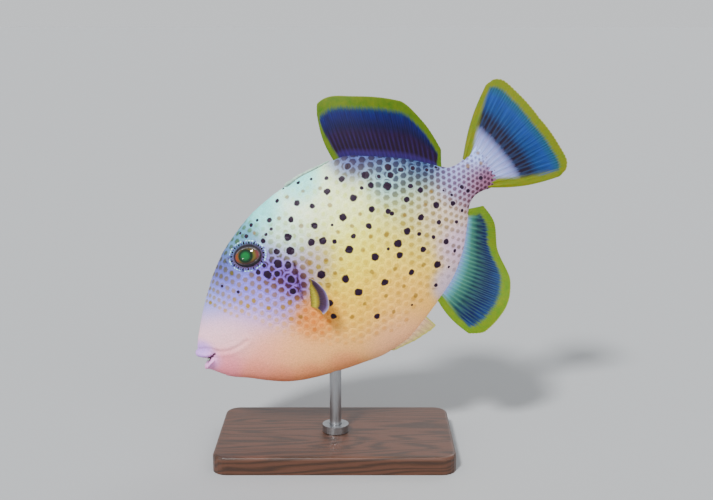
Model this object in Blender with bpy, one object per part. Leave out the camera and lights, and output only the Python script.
"""Yellowmargin triggerfish as a life-size still model, nose down over a plain display stand.

Metres, +Z up. The origin is the middle of the stand's underside, the head points to -X and the
left flank faces -Y. The fish is worked out in its own frame: distance back from the snout, side
offset (left is negative) and height above the body axis. Its tail is then bent away to the right
and the whole fish is pitched nose down by its parent empty.
"""

import math

import bmesh
import bpy
import numpy as np
from mathutils import Matrix, Vector

MM = 0.001

# Pose over the stand
SNOUT_OVER_BASE = -94.8 * MM
SNOUT_ABOVE_FLOOR = 68.0 * MM
PITCH = math.radians(33.0)
BEND_START = 150.0 * MM
BEND_LENGTH = 110.0 * MM
BEND_ANGLE = math.radians(15.0)
GAP = 0.3 * MM

# Body sections: distance from snout, back height, belly depth, half width, in millimetres
SECTIONS = (
    (1.5, -1.2, -13.2, 3.6),
    (3.0, 2.6, -17.0, 5.2),
    (6.0, 6.8, -21.2, 6.9),
    (11.0, 12.2, -27.0, 8.9),
    (21.0, 22.3, -34.8, 12.2),
    (32.0, 32.0, -44.2, 15.0),
    (43.0, 40.6, -52.0, 17.4),
    (56.0, 48.6, -57.9, 19.4),
    (72.0, 55.2, -63.0, 21.0),
    (90.0, 60.2, -67.6, 22.2),
    (110.0, 62.4, -71.2, 22.4),
    (125.0, 62.8, -70.6, 21.4),
    (140.0, 61.2, -66.2, 19.0),
    (156.0, 59.0, -59.9, 15.8),
    (173.0, 48.6, -52.4, 12.2),
    (190.0, 35.6, -39.6, 8.6),
    (203.0, 22.8, -24.8, 6.0),
    (211.0, 14.2, -15.0, 4.8),
    (218.0, 12.2, -12.4, 4.2),
    (232.0, 15.6, -16.0, 3.0),
)
WIDEST_HEIGHT = 0.52
# How narrow the back and belly ridges are: 1 is an ellipse, more is a sharper ridge
BACK_RIDGE = ((0.0, 0.95), (70.0, 0.85), (110.0, 1.1), (150.0, 1.6), (205.0, 1.5), (220.0, 1.0))
BELLY_RIDGE = ((0.0, 0.95), (40.0, 1.0), (85.0, 1.15), (130.0, 1.7), (200.0, 1.6), (220.0, 1.0))
RINGS = 32
RING_CROWDING = 1.35
RING_POINTS = 28

# Where the body is parted: a point of the cut and its lean from upright, top to the rear
GILL_CUT = (90.0 * MM, 7.0 * MM, math.radians(20.7))
PEDUNCLE_CUT = (206.5 * MM, 0.0, math.radians(4.0))
TAIL_CUT = (226.0 * MM, 0.0, math.radians(-9.0))

# Head
EYE_PLACE = (70.3 * MM, 38.7 * MM)
EYE_SIZE = (20.6 * MM, 15.6 * MM, 9.0 * MM)
EYE_BULGE = 2.2 * MM
EYE_TILT = math.radians(22.0)
ORBIT_RIM = 1.3 * MM
ORBIT_MARGIN = 1.4 * MM
ORBIT_SINK = 0.3 * MM
MUZZLE_CENTRE = 11.0 * MM
MUZZLE_REACH = 9.2 * MM
MUZZLE_HALF_WIDTH = 8.8 * MM
LIP_TURN = math.radians(88.0)
LIPS = {
    "upper_lip": (-0.3 * MM, -0.47, 2.6 * MM),
    "lower_lip": (-12.6 * MM, 0.33, 2.5 * MM),
}
# The open mouth from the side, as distance and height in millimetres, cut across the whole muzzle
MOUTH_OPENING = ((-4.0, -1.0), (0.0, -3.0), (8.2, -6.6), (13.4, -5.3), (13.0, -5.9), (8.6, -7.4),
                 (2.5, -9.3), (-4.0, -11.0))
MOUTH_REACH_TO_SIDE = 14.0 * MM
GILL_SLIT = ((94.1 * MM, 18.7 * MM), (90.5 * MM, 8.4 * MM), (85.0 * MM, -5.7 * MM))
GILL_SLIT_RADIUS = 0.9 * MM
NOSTRILS = ((57.6 * MM, 43.2 * MM), (55.2 * MM, 41.6 * MM))
NOSTRIL_RADIUS = 0.8 * MM
TEETH_PER_JAW = 8
# Reach, half width and length of each row of teeth
UPPER_TEETH = (8.4 * MM, 7.0 * MM, 2.3 * MM)
LOWER_TEETH = (7.0 * MM, 5.6 * MM, 1.5 * MM)
TOOTH_THICKNESS = 1.1 * MM
TEETH_TURN = math.radians(52.0)

# Fins. Each ray: place along the fin from 0 to 1, length and lean back from straight out of the body
DORSAL_BASE = (150.5 * MM, 207.5 * MM)
DORSAL_RAYS = 26
DORSAL_SHAPE = ((0.0, 31.0, 13.0), (0.05, 37.4, 13.0), (0.25, 39.8, 15.5), (0.5, 40.0, 17.0),
                (0.75, 38.5, 20.5), (0.9, 27.0, 23.0), (1.0, 11.0, 28.0))
ANAL_BASE = (157.5 * MM, 207.5 * MM)
ANAL_RAYS = 24
ANAL_SHAPE = ((0.0, 30.0, 10.0), (0.08, 37.5, 18.0), (0.25, 40.0, 33.0), (0.5, 36.8, 37.0),
              (0.75, 23.6, 38.0), (0.9, 19.0, 50.0), (1.0, 10.0, 66.0))
CAUDAL_RAYS = 12
CAUDAL_SPREAD = math.radians(32.0)
CAUDAL_SHAPE = ((0.0, 56.2), (0.5, 57.8), (0.75, 59.2), (0.88, 57.2), (1.0, 50.5))
CAUDAL_LIFT = math.radians(6.5)
PECTORAL_RAYS = 14
PECTORAL_ROOT = ((94.6 * MM, 0.8 * MM), (87.8 * MM, -11.4 * MM))
# Each pectoral ray: place down the root from 0 to 1, reach back and rise of its tip
PECTORAL_SHAPE = ((0.0, 6.0, 10.0), (0.2, 10.0, 6.0), (0.5, 12.5, -1.0), (0.8, 11.5, -6.5),
                  (1.0, 8.0, -8.5))
PECTORAL_STAND_OUT = 16.0 * MM
PECTORAL_BOW = 1.2 * MM
PECTORAL_STALK = 1.0 * MM
# Thickness at the root and at the margin
FIN_THICKNESS = (1.5 * MM, 0.9 * MM)
CAUDAL_THICKNESS = (3.0 * MM, 0.9 * MM)
PECTORAL_THICKNESS = (1.4 * MM, 0.8 * MM)
RAY_RIDGE = 0.35 * MM
FIN_ROWS = 5
FIN_WAVE = 5.0 * MM
CAUDAL_WAVE = 1.3 * MM
FRONT_RAY_BOW = 2.0 * MM
CAUDAL_EDGE_BOW = 2.2 * MM
TRIGGER_SPINE = (114.0 * MM, 144.0 * MM)
TRIGGER_RADII = (2.1 * MM, 0.9 * MM)
FLAP_BASE = (112.0 * MM, 145.0 * MM)
FLAP_SHAPE = ((0.0, 1.6, 40.0), (0.3, 3.4, 35.0), (0.6, 5.6, 30.0), (0.85, 8.0, 22.0), (1.0, 8.4, 14.0))
FLAP_RAYS = 8

# Stand
BASE_SIZE = (160.0 * MM, 96.0 * MM, 12.0 * MM)
BASE_CORNER = 10.0 * MM
BASE_EDGE = 2.0 * MM
ROD_RADIUS = 4.0 * MM
ROD_INTO_BASE = 6.0 * MM
ROD_INTO_BELLY = 10.0 * MM
COLLAR_RADIUS = 9.0 * MM
COLLAR_HEIGHT = 5.0 * MM


def clear_scene():
    for old in list(bpy.data.objects):
        bpy.data.objects.remove(old, do_unlink=True)


def new_collection(name):
    collection = bpy.data.collections.new(name)
    bpy.context.scene.collection.children.link(collection)
    return collection


def smooth(place, points):
    """Value at this place on the smooth curve through (place, value) points, without overshoot."""
    xs, ys = np.array(points, float).T
    widths = np.diff(xs)
    slopes = np.diff(ys) / widths
    tangents = np.concatenate([slopes[:1], np.zeros(len(xs) - 2), slopes[-1:]])
    for i in range(1, len(xs) - 1):
        before, after = slopes[i - 1], slopes[i]
        if before * after > 0:
            tangents[i] = 2 * before * after / (before + after)
    place = min(max(place, xs[0]), xs[-1])
    i = min(int(np.searchsorted(xs, place, side="right")) - 1, len(xs) - 2)
    t = (place - xs[i]) / widths[i]
    rise = (2 * t ** 3 - 3 * t ** 2 + 1) * ys[i] + (3 * t ** 2 - 2 * t ** 3) * ys[i + 1]
    turn = (t ** 3 - 2 * t ** 2 + t) * tangents[i] + (t ** 3 - t ** 2) * tangents[i + 1]
    return rise + turn * widths[i]


def section(distance):
    """Back height, belly depth and half width at this distance from the snout, in metres."""
    place = distance / MM
    return tuple(smooth(place, [(row[0], row[column]) for row in SECTIONS]) * MM for column in (1, 2, 3))


def skin_point(distance, angle, side):
    """Point of the skin at this angle down from the back, on the left (-1) or right (1)."""
    back, belly, half_width = section(distance)
    middle = belly + WIDEST_HEIGHT * (back - belly)
    ridge = smooth(distance / MM, BACK_RIDGE if angle < math.pi / 2 else BELLY_RIDGE)
    reach = back - middle if angle < math.pi / 2 else middle - belly
    out = half_width * max(math.sin(angle), 0.0) ** ridge
    return Vector((distance, side * out, middle + reach * math.cos(angle)))


def skin_at_height(distance, height, side):
    """Point of the skin at this height above the body axis."""
    back, belly, _ = section(distance)
    middle = belly + WIDEST_HEIGHT * (back - belly)
    reach = back - middle if height > middle else middle - belly
    return skin_point(distance, math.acos(max(-1.0, min(1.0, (height - middle) / reach))), side)


def skin_frame(distance, height, side):
    """Skin point and outward direction there."""
    step = 1.0 * MM
    point = skin_at_height(distance, height, side)
    along = skin_at_height(distance + step, height, side) - skin_at_height(distance - step, height, side)
    up = skin_at_height(distance, height + step, side) - skin_at_height(distance, height - step, side)
    out = along.cross(up).normalized()
    return point, out if out.y * side > 0 else -out


def bent(point):
    """A point of the straight fish carried along by the bend of its tail."""
    distance, side, height = point
    if distance <= BEND_START:
        return Vector(point)
    radius = BEND_LENGTH / BEND_ANGLE
    angle = min((distance - BEND_START) / radius, BEND_ANGLE)
    beyond = distance - BEND_START - angle * radius
    x = BEND_START + radius * math.sin(angle) + beyond * math.cos(angle)
    y = radius * (1 - math.cos(angle)) + beyond * math.sin(angle)
    return Vector((x - side * math.sin(angle), y + side * math.cos(angle), height))


def material(name, color, roughness, metallic=0.0):
    made = bpy.data.materials.get(name) or bpy.data.materials.new(name)
    made.use_nodes = True
    shader = made.node_tree.nodes["Principled BSDF"]
    shader.inputs["Base Color"].default_value = (*color, 1.0)
    shader.inputs["Roughness"].default_value = roughness
    shader.inputs["Metallic"].default_value = metallic
    return made


def new_object(name, mesh, collection, finish=None):
    obj = bpy.data.objects.new(name, mesh)
    collection.objects.link(obj)
    if finish:
        mesh.materials.clear()
        mesh.materials.append(finish)
    return obj


def mesh_from(name, bm):
    bmesh.ops.triangulate(bm, faces=bm.faces)
    bmesh.ops.recalc_face_normals(bm, faces=bm.faces)
    mesh = bpy.data.meshes.new(name)
    bm.to_mesh(mesh)
    bm.free()
    return mesh


def whole_body():
    """The straight body as one closed loft of rings, from the muzzle to past the tail's root."""
    bm = bmesh.new()
    first, last = SECTIONS[0][0] * MM, SECTIONS[-1][0] * MM
    rings = []
    for i in range(RINGS + 1):
        distance = first + (last - first) * (i / RINGS) ** RING_CROWDING
        ring = []
        for k in range(RING_POINTS):
            turn = 2 * math.pi * k / RING_POINTS
            angle, side = (turn, 1) if turn <= math.pi else (2 * math.pi - turn, -1)
            ring.append(bm.verts.new(skin_point(distance, angle, side)))
        rings.append(ring)
    for near, far in zip(rings, rings[1:]):
        for k in range(RING_POINTS):
            n = (k + 1) % RING_POINTS
            bm.faces.new((near[k], near[n], far[n], far[k]))
    bm.faces.new(rings[0])
    bm.faces.new(rings[-1])
    bmesh.ops.recalc_face_normals(bm, faces=bm.faces)
    return bm


def cut_body(name, front_cut, rear_cut):
    """The piece of the body between two parting cuts, each closed with a flat face."""
    bm = whole_body()
    for cut, keep_rear in ((front_cut, True), (rear_cut, False)):
        if cut is None:
            continue
        distance, height, lean = cut
        normal = Vector((math.cos(lean), 0, -math.sin(lean)))
        shift = GAP / 2 if keep_rear else -GAP / 2
        point = Vector((distance, 0, height)) + normal * shift
        made = bmesh.ops.bisect_plane(bm, geom=bm.verts[:] + bm.edges[:] + bm.faces[:], dist=1e-7,
                                      plane_co=point, plane_no=normal, clear_inner=keep_rear,
                                      clear_outer=not keep_rear)
        rim = [part for part in made["geom_cut"] if isinstance(part, bmesh.types.BMEdge)]
        bmesh.ops.edgeloop_fill(bm, edges=rim)
    return mesh_from(name, bm)


def tube(name, points, radii, sides=10):
    """A closed tube through these points, with a radius at each, as a mesh."""
    curve = bpy.data.curves.new(name, "CURVE")
    curve.dimensions = "3D"
    curve.bevel_depth = 1.0
    curve.bevel_resolution = max(0, sides // 2 - 2)
    curve.use_fill_caps = True
    spline = curve.splines.new("POLY")
    spline.points.add(len(points) - 1)
    for knot, point, radius in zip(spline.points, points, radii):
        knot.co = (*point, 1.0)
        knot.radius = radius
    holder = bpy.data.objects.new(name, curve)
    bpy.context.scene.collection.objects.link(holder)
    bpy.context.view_layer.update()
    mesh = bpy.data.meshes.new_from_object(holder.evaluated_get(bpy.context.evaluated_depsgraph_get()))
    bpy.data.objects.remove(holder, do_unlink=True)
    bm = bmesh.new()
    bm.from_mesh(mesh)
    bmesh.ops.remove_doubles(bm, verts=bm.verts, dist=1e-6)
    return mesh_from(name, bm)


def ellipsoid(name, place, turn, sizes, segments=20, rings=12):
    bm = bmesh.new()
    bmesh.ops.create_uvsphere(bm, u_segments=segments, v_segments=rings, radius=0.5)
    bm.transform(Matrix.Translation(place) @ turn.to_4x4() @ Matrix.Diagonal((*sizes, 1.0)))
    return mesh_from(name, bm)


def cut_with(obj, cutters, collection, operation="DIFFERENCE"):
    """Cuts or joins these meshes into the object by one Boolean, applied at once."""
    pieces = bpy.data.collections.new(obj.name + "_cutters")
    collection.children.link(pieces)
    for cutter in cutters:
        helper = new_object("cutter_" + cutter.name, cutter, pieces)
        helper.hide_render = True
        helper.display_type = "WIRE"
    boolean = obj.modifiers.new("pieces", "BOOLEAN")
    boolean.operation = operation
    boolean.operand_type = "COLLECTION"
    boolean.collection = pieces
    bpy.context.view_layer.update()
    result = bpy.data.meshes.new_from_object(obj.evaluated_get(bpy.context.evaluated_depsgraph_get()))
    obj.modifiers.remove(boolean)
    finish = obj.data.materials[0]
    for helper in list(pieces.objects):
        bpy.data.objects.remove(helper, do_unlink=True)
    bpy.data.collections.remove(pieces)
    obj.data = largest_surface(result, obj.name)
    obj.data.materials.clear()
    obj.data.materials.append(finish)


def largest_surface(mesh, name):
    """The mesh with only its largest closed surface, triangulated."""
    bm = bmesh.new()
    bm.from_mesh(mesh)
    bmesh.ops.triangulate(bm, faces=bm.faces)
    left = set(bm.faces)
    best = set()
    best_area = 0.0
    while left:
        group = {left.pop()}
        edge_of_group = list(group)
        while edge_of_group:
            face = edge_of_group.pop()
            for edge in face.edges:
                for other in edge.link_faces:
                    if other in left:
                        left.discard(other)
                        group.add(other)
                        edge_of_group.append(other)
        area = sum(face.calc_area() for face in group)
        if area > best_area:
            best, best_area = group, area
    bmesh.ops.delete(bm, geom=[face for face in bm.faces if face not in best], context="FACES")
    return mesh_from(name, bm)


def bend_mesh(obj):
    for vertex in obj.data.vertices:
        vertex.co = bent(vertex.co)


def eye_turn(distance, height, side):
    """Skin point and a rotation whose Z points out of the eye and whose X runs along its length."""
    point, out = skin_frame(distance, height, side)
    along = Vector((math.cos(EYE_TILT), 0, -math.sin(EYE_TILT)))
    along = (along - out * along.dot(out)).normalized()
    turn = Matrix((along, out.cross(along), out)).transposed()
    return point, out, turn


def orbit_rim(side):
    """A raised oval ring round the eye."""
    point, out, turn = eye_turn(*EYE_PLACE, side)
    length, height, _ = EYE_SIZE
    count = 28
    ring = []
    for k in range(count):
        angle = 2 * math.pi * k / count
        x = (length / 2 + ORBIT_MARGIN) * math.cos(angle)
        y = (height / 2 + ORBIT_MARGIN) * math.sin(angle)
        place = point + turn @ Vector((x, y, 0))
        on_skin, _ = skin_frame(place.x, place.z, side)
        ring.append(on_skin + turn @ Vector((0, 0, -ORBIT_SINK)))
    return ring_tube(f"rim_{side}", ring, ORBIT_RIM)


def ring_tube(name, ring, radius, sides=6):
    """A closed tube round a ring of points."""
    bm = bmesh.new()
    count = len(ring)
    middle = sum(ring, Vector()) / count
    loops = []
    for k in range(count):
        forward = (ring[(k + 1) % count] - ring[k - 1]).normalized()
        outward = ring[k] - middle
        outward = (outward - forward * outward.dot(forward)).normalized()
        across = forward.cross(outward)
        loop = []
        for j in range(sides):
            angle = 2 * math.pi * j / sides
            around = outward * math.cos(angle) + across * math.sin(angle)
            loop.append(bm.verts.new(ring[k] + around * radius))
        loops.append(loop)
    for k in range(count):
        near, far = loops[k], loops[(k + 1) % count]
        for j in range(sides):
            n = (j + 1) % sides
            bm.faces.new((near[j], near[n], far[n], far[j]))
    return mesh_from(name, bm)


def muzzle_arc(angle, reach, half_width):
    """Distance and side of a point round the muzzle, from the front (0) to a corner of the mouth."""
    return MUZZLE_CENTRE - reach * math.cos(angle), half_width * math.sin(angle)


def lip_mesh(name, extra):
    """A lip as a tube bent round the muzzle, or the recess for it when extra is the gap."""
    height, slope, radius = LIPS[name]
    count = 17
    points, radii = [], []
    for k in range(count):
        share = 2 * k / (count - 1) - 1
        distance, side = muzzle_arc(share * LIP_TURN, MUZZLE_REACH, MUZZLE_HALF_WIDTH)
        points.append(Vector((distance, side, height + slope * distance)))
        radii.append(radius * (1 - 0.45 * abs(share) ** 3) + extra)
    return tube(f"{name}_{'recess' if extra else 'body'}", points, radii, sides=12)


def mouth_opening():
    """A wedge across the whole muzzle that opens the mouth."""
    bm = bmesh.new()
    sides = []
    for side in (-MOUTH_REACH_TO_SIDE, MOUTH_REACH_TO_SIDE):
        sides.append([bm.verts.new((x * MM, side, z * MM)) for x, z in MOUTH_OPENING])
    bm.faces.new(sides[0])
    bm.faces.new(sides[1])
    for k in range(len(MOUTH_OPENING)):
        n = (k + 1) % len(MOUTH_OPENING)
        bm.faces.new((sides[0][k], sides[0][n], sides[1][n], sides[1][k]))
    return mesh_from("mouth_opening", bm)


def opening_edge(distance, upper):
    """Height of the upper or lower side of the open mouth at this distance from the snout."""
    side = MOUTH_OPENING[:3] if upper else MOUTH_OPENING[:4:-1]
    xs, zs = zip(*side)
    return float(np.interp(distance / MM, xs, zs)) * MM


def teeth(name, upper):
    """Chisel teeth side by side along the jaw, as one row grown together at the gum."""
    reach, half_width, length = UPPER_TEETH if upper else LOWER_TEETH
    down = -1 if upper else 1
    steps = TEETH_PER_JAW * 3
    bm = bmesh.new()
    columns = []
    for k in range(steps + 1):
        angle = TEETH_TURN * (2 * k / steps - 1)
        in_tooth = k % 3 != 0
        front = muzzle_arc(angle, reach, half_width)
        rear = muzzle_arc(angle, reach - TOOTH_THICKNESS, half_width - TOOTH_THICKNESS)
        gum = opening_edge(rear[0], upper) + down * GAP
        reach_down = length * (1 - 0.6 * (angle / TEETH_TURN) ** 2)
        tip = gum + down * (reach_down if in_tooth else 0.45 * reach_down)
        columns.append([bm.verts.new((front[0], front[1], gum)), bm.verts.new((front[0], front[1], tip)),
                        bm.verts.new((rear[0], rear[1], tip)), bm.verts.new((rear[0], rear[1], gum))])
    for near, far in zip(columns, columns[1:]):
        for j in range(4):
            n = (j + 1) % 4
            bm.faces.new((near[j], near[n], far[n], far[j]))
    bm.faces.new(columns[0])
    bm.faces.new(columns[-1])
    return mesh_from(name, bm)


def gill_slits():
    cutters = []
    for side in (-1, 1):
        points = []
        for k in range(7):
            share = k / 6
            distance = smooth(share, [(i / 2, knot[0]) for i, knot in enumerate(GILL_SLIT)])
            height = smooth(share, [(i / 2, knot[1]) for i, knot in enumerate(GILL_SLIT)])
            points.append(skin_at_height(distance, height, side))
        cutters.append(tube(f"gill_slit_{side}", points, [GILL_SLIT_RADIUS] * 7, sides=8))
    return cutters


def nostril_pits():
    cutters = []
    for side in (-1, 1):
        for number, place in enumerate(NOSTRILS):
            point, out = skin_frame(*place, side)
            size = [2 * NOSTRIL_RADIUS] * 3
            cutters.append(ellipsoid(f"nostril_{side}_{number}", point, Matrix.Identity(3), size, 8, 6))
    return cutters


def eye_mesh(name, side, extra):
    point, out, turn = eye_turn(*EYE_PLACE, side)
    sizes = [size + 2 * extra for size in EYE_SIZE]
    centre = point + out * (EYE_BULGE - EYE_SIZE[2] / 2)
    return ellipsoid(name, centre, turn, sizes)


def fin_solid(name, roots, tips, rays, sideways, thickness=FIN_THICKNESS):
    """A fin as one closed blade between a row of root points and a row of tip points.

    roots and tips hold a point for each column, rays and the membrane between them by turns.
    sideways gives the offset out of the fin's own plane at (along, out). Both faces are split
    into the same triangles, so that they keep apart where the blade curves.
    """
    columns = 2 * rays + 1
    rows = FIN_ROWS
    grid = np.zeros((columns, rows + 1, 3))
    for i in range(columns):
        for j in range(rows + 1):
            out = j / rows
            grid[i, j] = roots[i] + (tips[i] - roots[i]) * out + sideways(i / (columns - 1), out)
    along = np.gradient(grid, axis=0)
    outward = np.gradient(grid, axis=1)
    normals = np.cross(along, outward)
    normals /= np.linalg.norm(normals, axis=2, keepdims=True)
    bm = bmesh.new()
    faces = {1: [], -1: []}
    for sign in (1, -1):
        for i in range(columns):
            column = []
            for j in range(rows + 1):
                out = j / rows
                thick = thickness[0] + (thickness[1] - thickness[0]) * out
                thick += (RAY_RIDGE if i % 2 else -RAY_RIDGE) * (1 - 0.6 * out)
                column.append(bm.verts.new(grid[i, j] + sign * normals[i, j] * thick / 2))
            faces[sign].append(column)
    for sign in (1, -1):
        side = faces[sign]
        for i in range(columns - 1):
            for j in range(rows):
                a, b, c, d = side[i][j], side[i + 1][j], side[i + 1][j + 1], side[i][j + 1]
                bm.faces.new((a, b, c))
                bm.faces.new((a, c, d))
    near, far = faces[1], faces[-1]
    rim = [(i, 0) for i in range(columns)] + [(columns - 1, j) for j in range(1, rows + 1)]
    rim += [(i, rows) for i in range(columns - 2, -1, -1)] + [(0, j) for j in range(rows - 1, 0, -1)]
    for k, (i, j) in enumerate(rim):
        ni, nj = rim[(k + 1) % len(rim)]
        bm.faces.new((near[i][j], near[ni][nj], far[ni][nj], far[i][j]))
    return mesh_from(name, bm)


def ridge_line(distances, upper):
    """Heights of the faceted body's back or belly ridge at these distances."""
    first, last = SECTIONS[0][0] * MM, SECTIONS[-1][0] * MM
    stations = [first + (last - first) * (i / RINGS) ** RING_CROWDING for i in range(RINGS + 1)]
    heights = [section(station)[0 if upper else 1] for station in stations]
    return np.interp(distances, stations, heights)


def median_fin(name, base, shape, rays, upper, wave):
    """A dorsal, anal or belly fin that stands on the back or belly ridge."""
    columns = 2 * rays + 1
    sign = 1 if upper else -1
    roots, tips = [], []
    for i in range(columns):
        share = i / (columns - 1)
        distance = base[0] + (base[1] - base[0]) * share
        height = float(ridge_line(distance, upper)) + sign * GAP
        length = smooth(share, [(row[0], row[1]) for row in shape]) * MM
        lean = math.radians(smooth(share, [(row[0], row[2]) for row in shape]))
        root = Vector((distance, 0, height))
        roots.append(root)
        tips.append(root + Vector((math.sin(lean), 0, sign * math.cos(lean))) * length)

    def sideways(share, out):
        bow = FRONT_RAY_BOW * math.sin(math.pi * out) * (1 - share) ** 6 * (abs(wave) > 0)
        return Vector((-bow, wave * out ** 1.5 * math.sin(2 * math.pi * share * 0.8 + 0.6), 0))

    return fin_solid(name, roots, tips, rays, sideways)


def caudal_fin():
    columns = 2 * CAUDAL_RAYS + 1
    distance, height, lean = TAIL_CUT
    start = Vector((distance + GAP / math.cos(lean), 0, height))
    upright = Vector((math.sin(lean), 0, math.cos(lean)))
    top = section(distance)[0] - 0.4 * MM
    roots, tips = [], []
    for i in range(columns):
        share = 2 * i / (columns - 1) - 1
        root = start + upright * top * share
        angle = CAUDAL_LIFT + CAUDAL_SPREAD * share
        length = smooth(abs(share), CAUDAL_SHAPE) * MM
        roots.append(root)
        tips.append(root + Vector((math.cos(angle), 0, math.sin(angle))) * length)

    def sideways(share, out):
        edge = 2 * share - 1
        bow = CAUDAL_EDGE_BOW * math.sin(math.pi * out) * edge ** 3
        ripple = CAUDAL_WAVE * out * math.cos(2 * math.pi * share)
        return Vector((-abs(bow) * math.sin(CAUDAL_SPREAD), ripple, bow))

    return fin_solid("caudal_fin", roots, tips, CAUDAL_RAYS, sideways, CAUDAL_THICKNESS)


def pectoral_fin(name, side):
    columns = 2 * PECTORAL_RAYS + 1
    roots, tips = [], []
    (top_x, top_z), (low_x, low_z) = PECTORAL_ROOT
    for i in range(columns):
        share = i / (columns - 1)
        distance = top_x + (low_x - top_x) * share
        height = top_z + (low_z - top_z) * share
        point, out = skin_frame(distance, height, side)
        root = point + out * (GAP + PECTORAL_STALK)
        back = smooth(share, [(row[0], row[1]) for row in PECTORAL_SHAPE]) * MM
        rise = smooth(share, [(row[0], row[2]) for row in PECTORAL_SHAPE]) * MM
        roots.append(root)
        tips.append(root + Vector((back, side * PECTORAL_STAND_OUT, rise)))

    def sideways(share, out):
        return Vector((PECTORAL_BOW * math.sin(math.pi * out), 0, 0))

    return fin_solid(name, roots, tips, PECTORAL_RAYS, sideways, PECTORAL_THICKNESS)


def trigger_spine(extra):
    """The folded first dorsal fin: its stout spine lies back in a groove of the back."""
    count = 9
    points, radii = [], []
    for k in range(count):
        share = k / (count - 1)
        distance = TRIGGER_SPINE[0] + (TRIGGER_SPINE[1] - TRIGGER_SPINE[0]) * share
        radius = TRIGGER_RADII[0] + (TRIGGER_RADII[1] - TRIGGER_RADII[0]) * share
        height = float(ridge_line(distance, True)) + 0.5 * MM - 0.55 * radius
        points.append(Vector((distance, 0, height)))
        radii.append(radius + extra)
    if extra:
        points[0].x -= extra
        points[-1].x += extra
    return tube("trigger_spine" + ("_groove" if extra else ""), points, radii, sides=10)


def build_fish(fish, cutters, pose):
    skin_front = material("lavender_pink_skin", (0.62, 0.36, 0.42), 0.45)
    skin_side = material("pale_yellow_skin", (0.66, 0.58, 0.32), 0.45)
    skin_rear = material("grey_lavender_skin", (0.42, 0.30, 0.40), 0.45)
    lip_skin = material("lavender_lip", (0.45, 0.30, 0.52), 0.35)
    enamel = material("tooth_enamel", (0.80, 0.80, 0.72), 0.25)
    eye_finish = material("green_eye", (0.05, 0.16, 0.06), 0.08)
    membrane = material("yellow_edged_fin", (0.10, 0.12, 0.22), 0.45)
    spine_finish = material("pale_spine", (0.50, 0.50, 0.36), 0.5)
    straight, placed = [], []

    head = new_object("head", cut_body("head", None, GILL_CUT), fish, skin_front)
    cut_with(head, [orbit_rim(-1), orbit_rim(1)], cutters, "UNION")
    holes = [mouth_opening(), lip_mesh("upper_lip", GAP), lip_mesh("lower_lip", GAP)]
    holes += [eye_mesh("left_socket", -1, GAP), eye_mesh("right_socket", 1, GAP)]
    holes += nostril_pits() + gill_slits()
    cut_with(head, holes, cutters)

    torso = new_object("torso", cut_body("torso", GILL_CUT, PEDUNCLE_CUT), fish, skin_side)
    cut_with(torso, [trigger_spine(GAP), rod_in_fish_frame(ROD_RADIUS + GAP)], cutters)
    stalk = cut_body("caudal_peduncle", PEDUNCLE_CUT, TAIL_CUT)
    peduncle = new_object("caudal_peduncle", stalk, fish, skin_rear)
    straight += [head, torso, peduncle]

    for name in LIPS:
        straight.append(new_object(name, lip_mesh(name, 0.0), fish, lip_skin))
    straight.append(new_object("teeth_upper", teeth("teeth_upper", True), fish, enamel))
    straight.append(new_object("teeth_lower", teeth("teeth_lower", False), fish, enamel))
    for side, word in ((-1, "left"), (1, "right")):
        straight.append(new_object(f"eye_{word}", eye_mesh(f"eye_{word}", side, 0.0), fish, eye_finish))
        name = f"pectoral_fin_{word}"
        straight.append(new_object(name, pectoral_fin(name, side), fish, membrane))
    straight.append(new_object("first_dorsal_fin", trigger_spine(0.0), fish, spine_finish))
    fins = (
        ("second_dorsal_fin", DORSAL_BASE, DORSAL_SHAPE, DORSAL_RAYS, True, FIN_WAVE),
        ("anal_fin", ANAL_BASE, ANAL_SHAPE, ANAL_RAYS, False, -FIN_WAVE),
        ("ventral_flap", FLAP_BASE, FLAP_SHAPE, FLAP_RAYS, False, 0.0),
    )
    for name, base, shape, rays, upper, wave in fins:
        straight.append(new_object(name, median_fin(name, base, shape, rays, upper, wave), fish, membrane))
    straight.append(new_object("caudal_fin", caudal_fin(), fish, membrane))
    for obj in straight:
        bend_mesh(obj)
        obj.parent = pose
        obj.data.shade_smooth()
        obj.data.set_sharp_from_angle(angle=math.radians(35.0))


def pose_matrix():
    """From the fish's own frame to the world: pitched nose down, with the snout in its place."""
    return Matrix.Translation((SNOUT_OVER_BASE, 0, SNOUT_ABOVE_FLOOR)) @ Matrix.Rotation(-PITCH, 4, "Y")


def belly_over_rod():
    """Height above the floor where the upright rod meets the belly."""
    to_world = pose_matrix()
    for distance in np.arange(40.0, 120.0, 0.2) * MM:
        point = to_world @ Vector((distance, 0, section(distance)[1]))
        if point.x >= 0:
            return point.z
    raise ValueError("the belly never passes over the rod")


def cylinder(name, radius, bottom, top, segments=32):
    bm = bmesh.new()
    turned = Matrix.Rotation(math.pi / segments, 4, "Z")
    bmesh.ops.create_cone(bm, cap_ends=True, segments=segments, radius1=radius, radius2=radius,
                          depth=top - bottom, matrix=turned)
    bmesh.ops.translate(bm, verts=bm.verts, vec=(0, 0, (top + bottom) / 2))
    return mesh_from(name, bm)


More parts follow.
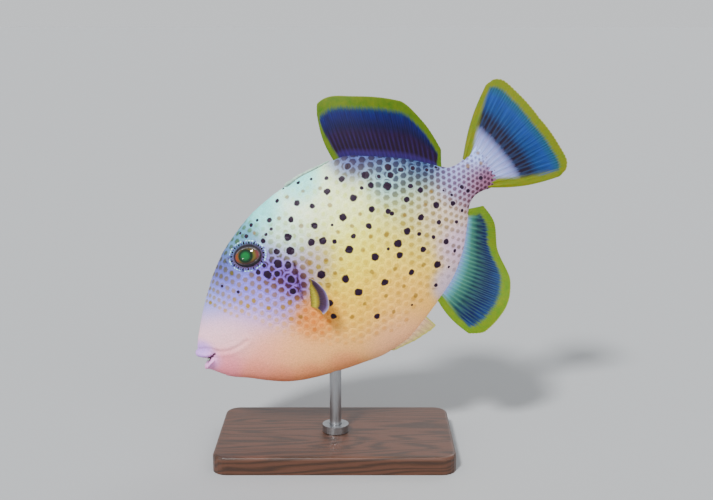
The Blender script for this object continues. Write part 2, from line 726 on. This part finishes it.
def rod_in_fish_frame(radius):
    """The rod's own hole in the belly, in the frame of the straight fish."""
    belly = belly_over_rod()
    mesh = cylinder("rod_hole", radius, belly - 30 * MM, belly + ROD_INTO_BELLY + GAP)
    mesh.transform(pose_matrix().inverted())
    return mesh


def build_stand(fish, cutters):
    wood = material("dark_oiled_wood", (0.09, 0.05, 0.03), 0.45)
    steel = material("satin_steel", (0.55, 0.55, 0.56), 0.3, 1.0)
    height = BASE_SIZE[2]
    bm = bmesh.new()
    bmesh.ops.create_cube(bm, size=1.0)
    bmesh.ops.scale(bm, vec=BASE_SIZE, verts=bm.verts)
    bmesh.ops.translate(bm, vec=(0, 0, height / 2), verts=bm.verts)
    upright = [edge for edge in bm.edges if abs(edge.verts[0].co.z - edge.verts[1].co.z) > height / 2]
    bmesh.ops.bevel(bm, geom=upright, offset=BASE_CORNER, segments=5, profile=0.5, affect="EDGES")
    top = [edge for edge in bm.edges if min(v.co.z for v in edge.verts) > height - 1e-6]
    bmesh.ops.bevel(bm, geom=top, offset=BASE_EDGE, segments=3, profile=0.5, affect="EDGES")
    base = new_object("stand_base", mesh_from("stand_base", bm), fish, wood)
    hole = cylinder("rod_seat", ROD_RADIUS + GAP, height - ROD_INTO_BASE - GAP, height + 10 * MM)
    cut_with(base, [hole], cutters)
    rod_top = belly_over_rod() + ROD_INTO_BELLY
    rod_mesh = cylinder("stand_rod", ROD_RADIUS, height - ROD_INTO_BASE, rod_top)
    rod = new_object("stand_rod", rod_mesh, fish, steel)
    ring = cylinder("stand_collar", COLLAR_RADIUS, height + GAP, height + GAP + COLLAR_HEIGHT)
    collar = new_object("stand_collar", ring, fish, steel)
    cut_with(collar, [cylinder("collar_bore", ROD_RADIUS + GAP, 0.0, height + 30 * MM)], cutters)
    for obj in (rod, collar):
        obj.data.shade_smooth()
        obj.data.set_sharp_from_angle(angle=math.radians(35.0))


def main():
    clear_scene()
    fish = new_collection("yellowmargin_triggerfish")
    cutters = new_collection("cutters")
    cutters.hide_render = True
    pose = bpy.data.objects.new("fish_pose", None)
    fish.objects.link(pose)
    pose.matrix_world = pose_matrix()
    build_fish(fish, cutters, pose)
    build_stand(fish, cutters)


main()
